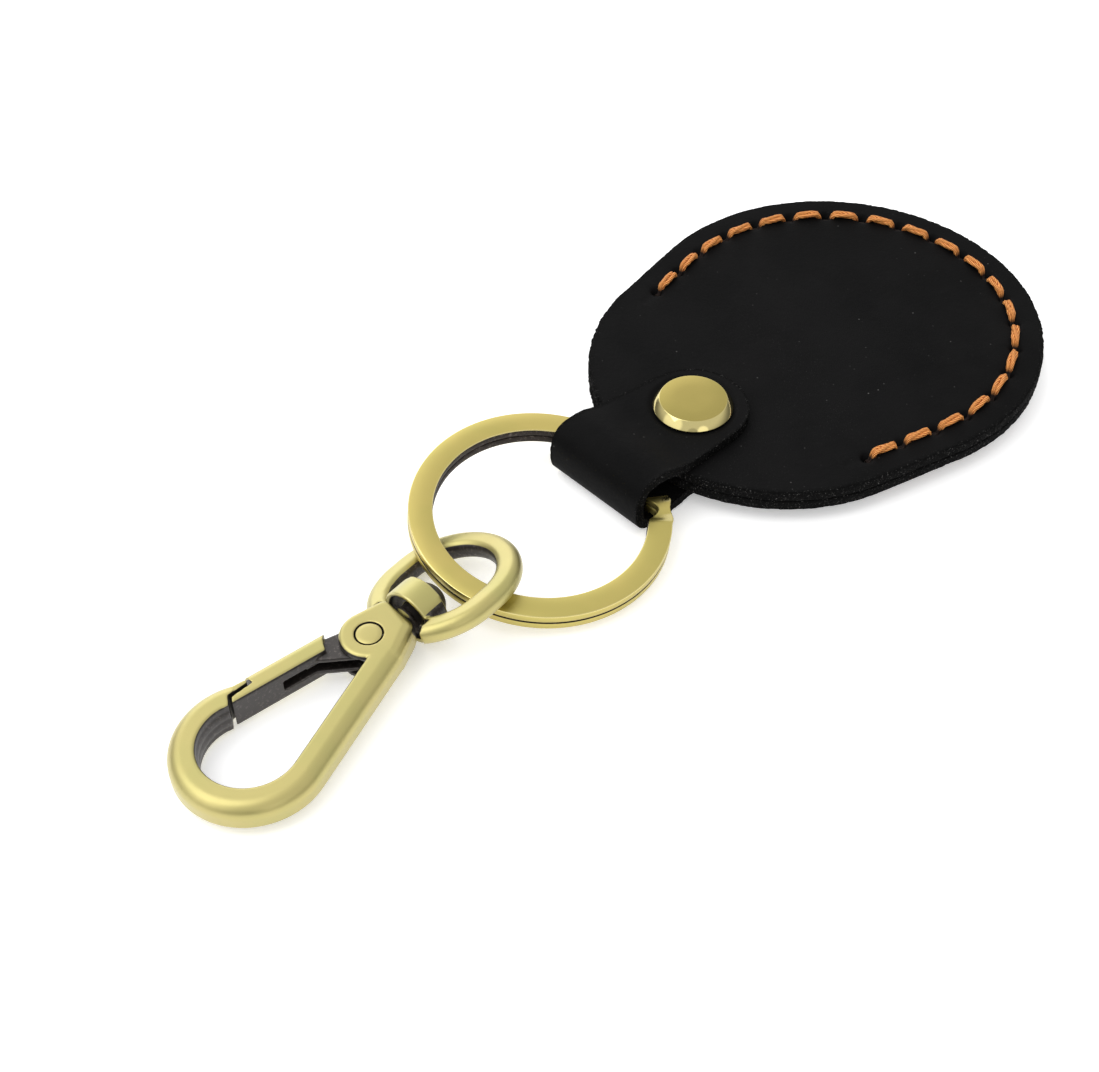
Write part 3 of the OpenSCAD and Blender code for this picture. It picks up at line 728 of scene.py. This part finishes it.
def evened(line, step):
    """The same line with its points spread evenly."""
    points = np.array(line)
    lengths = np.concatenate([[0], np.cumsum(np.linalg.norm(np.diff(points, axis=0), axis=1))])
    at = np.linspace(0, lengths[-1], int(lengths[-1] / step))
    return np.stack([np.interp(at, lengths, points[:, k]) for k in range(3)], 1)


def leather_strap(material):
    """A flat leather blank wrapped along its line, then given its thickness."""
    line = evened(strap_line(), STRAP_STEP)
    line[1:-1] = (line[:-2] + 2 * line[1:-1] + line[2:]) / 4
    rows = len(line) - 1
    bpy.ops.mesh.primitive_grid_add(
        x_subdivisions=rows, y_subdivisions=STRAP_ROWS, size=1, location=(0, 0, 0)
    )
    strap = bpy.context.object
    co = coordinates(strap)
    half = TIP_W / 2
    out = co.copy()
    for i, (u, v, _) in enumerate(co):
        x, _, z = line[round((u + 0.5) * rows)]
        low, high = strap_sides(x - SCREW_X)
        out[i] = (x, low + (v + 0.5) * (high - low), z)
    set_coordinates(strap, out)
    edit(strap)
    merge(0.01)
    face_outwards()
    modified(strap, "SOLIDIFY", thickness=STRAP_T, offset=0, use_even_offset=True)
    crisp = math.radians(50)
    modified(strap, "BEVEL", width=0.12, segments=2, limit_method="ANGLE", angle_limit=crisp)
    edit(strap)
    face_outwards()
    co = coordinates(strap)
    rim = np.zeros(len(co))
    for i, (x, y, z) in enumerate(co):
        past = max(0, x - SCREW_X)
        low, high = strap_sides(x - SCREW_X)
        side = y - TIP_Y if past else (y - (low + high) / 2)
        room = half - math.hypot(past, side) if past else min(y - low, high - y)
        rim[i] = float(eased(room, 0.34, 0.10))
        if room < 0.5:
            push = -0.03 + 0.09 * roughness((x, y, z), 0.4, 21)
            push += 0.10 * roughness((x, y, z), 1.9, 27)
            reach = math.hypot(past, side)
            co[i, 0] += push * past / reach
            co[i, 1] += push * side / reach
        near = math.hypot(x - SCREW_X, y)
        if z > UPPER_MID_Z:
            co[i, 2] -= 0.20 * float(eased(near, 5.5, 4.85))
            co[i, 2] += 0.02 * roughness((x, y, 0), 2.2, 31)
    set_coordinates(strap, co)
    store(strap, "rim", rim)
    placed(strap, STRAP_LIE)
    return finished(strap, "leather_strap", "strap", material, ["strap"], 60)


# ---------------------------------------------------------------- screw
def lathe(profile, steps, centre):
    """Spins a profile of (radius, height) points round the upright axis through centre."""
    bpy.ops.mesh.primitive_circle_add(
        vertices=len(profile), radius=1, fill_type="NOTHING", location=(0, 0, 0)
    )
    piece = bpy.context.object
    set_coordinates(piece, [(centre[0] + r, centre[1], centre[2] + h) for r, h in profile])
    mesh = edit(piece)
    gap = [e for e in mesh.edges if {v.index for v in e.verts} == {0, len(profile) - 1}]
    bmesh.ops.delete(mesh, geom=gap, context="EDGES")
    bpy.ops.mesh.select_all(action="SELECT")
    bpy.ops.mesh.spin(steps=steps, angle=2 * math.pi, center=centre, axis=(0, 0, 1))
    merge(0.0005)
    face_outwards()
    return piece


def screw_post(material):
    """The flat head with its chamfer, in one piece with the post below it."""
    flat, rim, barrel = HEAD_FLAT_D / 2, HEAD_D / 2, BARREL_D / 2
    profile = [
        (0, HEAD_H), (flat * 0.5, HEAD_H), (flat - 0.12, HEAD_H),
        (flat - 0.03, HEAD_H - 0.012), (flat + 0.04, HEAD_H - 0.06),
        (rim - 0.06, HEAD_RIM_H + 0.05), (rim - 0.01, HEAD_RIM_H - 0.03), (rim, HEAD_RIM_H - 0.08),
        (rim, 0.05), (rim - 0.05, 0),
        (barrel, 0), (barrel, BARREL_Z - HEAD_Z), (0, BARREL_Z - HEAD_Z),
    ]
    post = lathe(profile, HEAD_STEPS, (SCREW_X, 0, HEAD_Z))
    co = coordinates(post)
    reach = np.hypot(co[:, 0] - SCREW_X, co[:, 1])
    store(post, "patina", np.where(co[:, 2] < HEAD_Z + 0.06, 1.0, 0.0))
    # The top edge and rim get lighter brass: partly rubbed wear, partly a painted highlight.
    rubbed_and_highlit = (np.abs(reach - flat) < 0.05) | (reach > rim - 0.07)
    store(post, "edge", np.where(rubbed_and_highlit & (co[:, 2] > HEAD_Z + 0.06), 0.7, 0.0))
    name = "screw_head_and_post"
    return finished(post, name, "holder", material, ["screw_post"], 20)


# ---------------------------------------------------------------- ring
def split_ring(material):
    """Two spun coils of flat wire, bridged where the wire steps up."""
    c, b = 0.17, 0.05
    i, o = RING_R - RING_BAND, RING_R
    first, last = JOG_ANGLE + JOG_GAP / 2, JOG_ANGLE - JOG_GAP / 2
    below_face = [(i, c), (i + b, b), (i + c, 0), (o - c, 0), (o - b, b), (o, c)]
    section = below_face + [(r, COIL_T - h) for r, h in below_face[::-1]]
    start, sweep = math.radians(first), math.radians(360 - JOG_GAP)
    x, y = math.cos(start), math.sin(start)
    coils = []
    for z in (-COIL_T - COIL_GAP / 2, COIL_GAP / 2):
        bpy.ops.mesh.primitive_circle_add(
            vertices=len(section), radius=1, fill_type="NGON", location=(0, 0, 0)
        )
        coil = bpy.context.object
        set_coordinates(coil, [(r * x, r * y, z + h) for r, h in section])
        edit(coil)
        bpy.ops.mesh.select_all(action="SELECT")
        bpy.ops.mesh.spin(steps=COIL_STEPS, angle=sweep, center=(0, 0, 0), axis=(0, 0, 1))
        leave()
        coils.append(coil)
    ring = joined(coils)
    mesh = edit(ring)
    bpy.ops.mesh.select_all(action="DESELECT")
    ends = [f for f in mesh.faces if len(f.verts) == len(section)]
    for face in ends:
        middle = face.calc_center_median()
        angle = math.degrees(math.atan2(middle.y, middle.x))
        below = middle.z < 0
        face.select = abs(angle - (last if below else first)) < 1
    bpy.ops.mesh.bridge_edge_loops(number_cuts=JOG_CUTS, interpolation="LINEAR", smoothness=1.0)
    face_outwards()
    co = coordinates(ring)
    angle = np.degrees(np.arctan2(co[:, 1], co[:, 0]))
    inside = (angle > last + 0.2) & (angle < first - 0.2)
    u = (angle - last) / (first - last)
    mid = (COIL_T + COIL_GAP) / 2
    half_gap = math.cos(math.radians(JOG_GAP / 2))
    for k in np.nonzero(inside)[0]:
        reach = math.hypot(co[k, 0], co[k, 1])
        straight = -mid + 2 * mid * u[k]
        ramp = -mid + 2 * mid * float(eased(u[k], 0, 1))
        pinch = 1 - 0.50 * math.sin(math.pi * u[k]) ** 2
        middle = RING_R - RING_BAND / 2 + 0.50 * math.sin(math.pi * u[k])
        chord = half_gap / math.cos(math.radians(angle[k] - JOG_ANGLE))
        new = middle + (reach / chord - (RING_R - RING_BAND / 2)) * pinch
        co[k, 0] *= new / reach
        co[k, 1] *= new / reach
        co[k, 2] = co[k, 2] - straight + ramp
    set_coordinates(ring, co)
    radius = np.hypot(co[:, 0], co[:, 1])
    seam = np.abs(co[:, 2]) < 0.2
    inner = eased(radius, i + 0.06, i + 0.01)
    level = np.abs(co[:, 2] - np.sign(co[:, 2]) * (COIL_T + COIL_GAP) / 2)
    # The coils' top and bottom edges get lighter brass: partly rubbed wear, partly a painted
    # highlight.
    broken = (level > COIL_T / 2 - 0.1) & ((radius > o - 0.1) | (radius < i + 0.1))
    store(ring, "patina", np.where(seam & ~inside, 0.9, inner))
    store(ring, "edge", np.where(broken & ~seam & (inner < 0.5), 1.0, 0.0))
    roll = Matrix.Rotation(math.radians(RING_ROLL), 4, "X")
    placed(ring, Matrix.Translation(RING_C) @ STRAP_YAW @ roll)
    return finished(ring, "key_ring", "ring", material, ["split_ring"], 25)


# ---------------------------------------------------------------- cast pieces
def casting(
    node, name, body, material, voxel, rounds, neighbours, up, always,
    rubbed_and_highlit=0.0, sheltered=(0.42, 0.66),
):
    """A copy of a solid with melted edges, dark in its openings and recesses."""
    piece = NODES[node].copy()
    piece.data = NODES[node].data.copy()
    piece.parent = None
    for key in list(piece.keys()):
        del piece[key]
    bpy.context.scene.collection.objects.link(piece)
    piece.matrix_world = Matrix.Identity(4)
    placed(piece, Matrix.Scale(1 / MM, 4))
    edit(piece)
    merge(0.002)
    leave()
    level = Matrix([HOOK_X, up.cross(HOOK_X).normalized(), up]).to_4x4()
    placed(piece, level)
    modified(piece, "REMESH", mode="VOXEL", voxel_size=voxel, adaptivity=0)
    modified(piece, "SMOOTH", factor=0.5, iterations=rounds)
    placed(piece, level.inverted())
    if node == "hook_body":
        slimmed(piece)
    if node == "swivel_eye":
        blended(piece)
    tree = solids([piece] + [NODES[n] for n in neighbours], piece)
    rays = SHELTER_RAYS
    hidden = spread(piece, shelter(piece, tree, SHELTER_REACH, rays), 3)
    dark = np.maximum(eased(hidden, *sheltered), spread(piece, enclosure(piece, tree, up, 30), 1))
    edge = np.clip(bulge(piece) / (voxel * 0.16), 0, 1)
    dark = np.maximum(dark, always(coordinates(piece) - np.array(HOOK_O)))
    # Edges clear the patina and get lighter: partly rubbed wear, partly a painted highlight.
    store(piece, "patina", dark * (1 - rubbed_and_highlit * eased(edge, 0.35, 0.8)))
    store(piece, "edge", edge * (0.15 + 0.5 * rubbed_and_highlit))
    return finished(piece, name, body, material, [node], 60)


def slimmed(piece):
    """Rounds the hook's bar more below, on its outer side."""
    co = coordinates(piece)
    normals = vertex_normals(piece)
    flat = np.array([HOOK_X, HOOK_Y]).T
    at, lean = (co - np.array(HOOK_O)) @ flat, normals @ flat
    out = np.where(at[:, :1] < 3, at / np.linalg.norm(at, axis=1)[:, None], np.array([[0.0, -1.0]]))
    below = -normals @ np.array(HOOK_Z)
    push = 0.38 * eased(below, 0.0, 0.55) * eased(below, 0.98, 0.75)
    push *= eased((out * lean).sum(1), 0.0, 0.4)
    push *= eased(at[:, 0], 21.5, 17.5) * eased(at[:, 1], 6.0, 2.0)
    set_coordinates(piece, co - normals * push[:, None])
    modified(piece, "SMOOTH", factor=0.5, iterations=2)


def blended(piece):
    """Fills the corner between the collar and the eye with a soft fillet."""
    at = coordinates(piece) - np.array(HOOK_O)
    along = at @ np.array(HOOK_X)
    aside = np.abs(at @ np.array(HOOK_Y))
    group = piece.vertex_groups.new(name="corner")
    near = (along > COLLAR_X + 0.5) & (along < COLLAR_X + 4.2)
    near &= (aside > 2.2) & (aside < 5.2)
    group.add([int(k) for k in np.nonzero(near)[0]], 1.0, "REPLACE")
    modified(piece, "SMOOTH", factor=0.5, iterations=40, vertex_group="corner")


def nowhere(at):
    """No part is always dark."""
    return np.zeros(len(at))


def cup(at):
    """The mouth of the collar, inside its rim."""
    along = at @ np.array(HOOK_X)
    off = np.linalg.norm(at - along[:, None] * np.array(HOOK_X), axis=1)
    return eased(along, COLLAR_X + 1.3, COLLAR_X + 1.0) * eased(off, 3.05, 2.85)


def past_head(at):
    """The hook's neck, stem and riveted dome."""
    return eased(at @ np.array(HOOK_X), HEAD_X + 0.1, HEAD_X + 0.3)


def gate_tongue(at):
    """The gate's tongue in the fork, and its channel with the shoulder beside it."""
    from_pin = at - np.array(PIN_C - HOOK_O)
    lie = math.radians(GATE_ANGLE)
    along = from_pin @ np.array(math.sin(lie) * HOOK_Y - math.cos(lie) * HOOK_X)
    aside = from_pin @ np.array(math.cos(lie) * HOOK_Y + math.sin(lie) * HOOK_X)
    height = np.abs(from_pin @ np.array(HOOK_Z))
    tongue = eased(np.linalg.norm(from_pin, axis=1), EAR_REACH + 0.12, EAR_REACH + 0.02)
    channel = (height < 0.80) & (aside > 0.85) & (aside < 2.75) & (along > 0)
    shoulder = (along < EAR_REACH + 1.6) & (height < 1.75) & (aside < 2.4)
    return np.maximum(tongue, channel | shoulder)


def gate_rivet(material):
    """The pin's flush head, a hair smaller than its hole."""
    r, h = PIN_R - 0.17, BAR_H / 2
    profile = [(0, h - 0.01), (r * 0.6, h - 0.02), (r - 0.14, h - 0.05), (r - 0.03, h - 0.1)]
    profile.append((r, h - 0.2))
    profile += [(radius, -height) for radius, height in profile[::-1]]
    pin = lathe(profile, RIVET_STEPS, (0, 0, 0))
    co = coordinates(pin)
    store(pin, "patina", np.where(np.abs(co[:, 2]) < h - 0.15, 1.0, 0.0))
    store(pin, "edge", np.zeros(len(co)))
    placed(pin, Matrix.Translation(PIN_C) @ HOOK_Z.to_track_quat("Z", "Y").to_matrix().to_4x4())
    return finished(pin, "gate_rivet", "hook", material, ["gate_pin"], 40)


set_stage()
cast_brass = antique_brass(
    "antique_brass_cast", (0.435, 0.392, 0.128), (0.47, 0.405, 0.138), coat=0.6
)
wire_brass = antique_brass(
    "antique_brass_wire", (0.505, 0.428, 0.135), (0.545, 0.447, 0.145), rough=0.36, relief=0.3
)
head_brass = antique_brass(
    "antique_brass_head", (0.375, 0.310, 0.092), (0.395, 0.322, 0.098), rough=0.19, relief=0.3
)
leather = wax_leather("black_wax_leather")
thread = waxed_thread("orange_waxed_thread")
steel = spring_steel("drawn_spring_steel")

leather_panel("leather_front", FRONT_Z, True, leather)
leather_panel("leather_back", BACK_Z, False, leather)
stitches("front_stitches", FRONT_Z + PANEL_T, 1, "needle_thread", thread)
stitches("back_stitches", BACK_Z, -1, "bobbin_thread", thread)
leather_strap(leather)
screw_post(head_brass)
split_ring(wire_brass)
casting(
    "back_screw", "slotted_back_screw", "back_screw", cast_brass, voxel=0.08, rounds=3,
    neighbours=[], up=Vector((0, 0, 1)), always=nowhere, rubbed_and_highlit=0.8,
)
casting(
    "swivel_eye", "swivel_eye_casting", "eye", cast_brass, voxel=0.12, rounds=8,
    neighbours=["hook_body"], up=EYE_Z, always=cup, rubbed_and_highlit=0.6, sheltered=(0.62, 0.86),
)
casting(
    "hook_body", "hook_casting", "hook", cast_brass, voxel=0.10, rounds=5,
    neighbours=["gate", "swivel_eye"], up=HOOK_Z, always=past_head,
)
casting(
    "gate", "gate_lever", "gate", cast_brass, voxel=0.10, rounds=5,
    neighbours=["hook_body"], up=HOOK_Z, always=gate_tongue,
)
gate_rivet(cast_brass)
spring = NODES["gate_spring"]
spring.data.materials.clear()
spring.data.materials.append(steel)
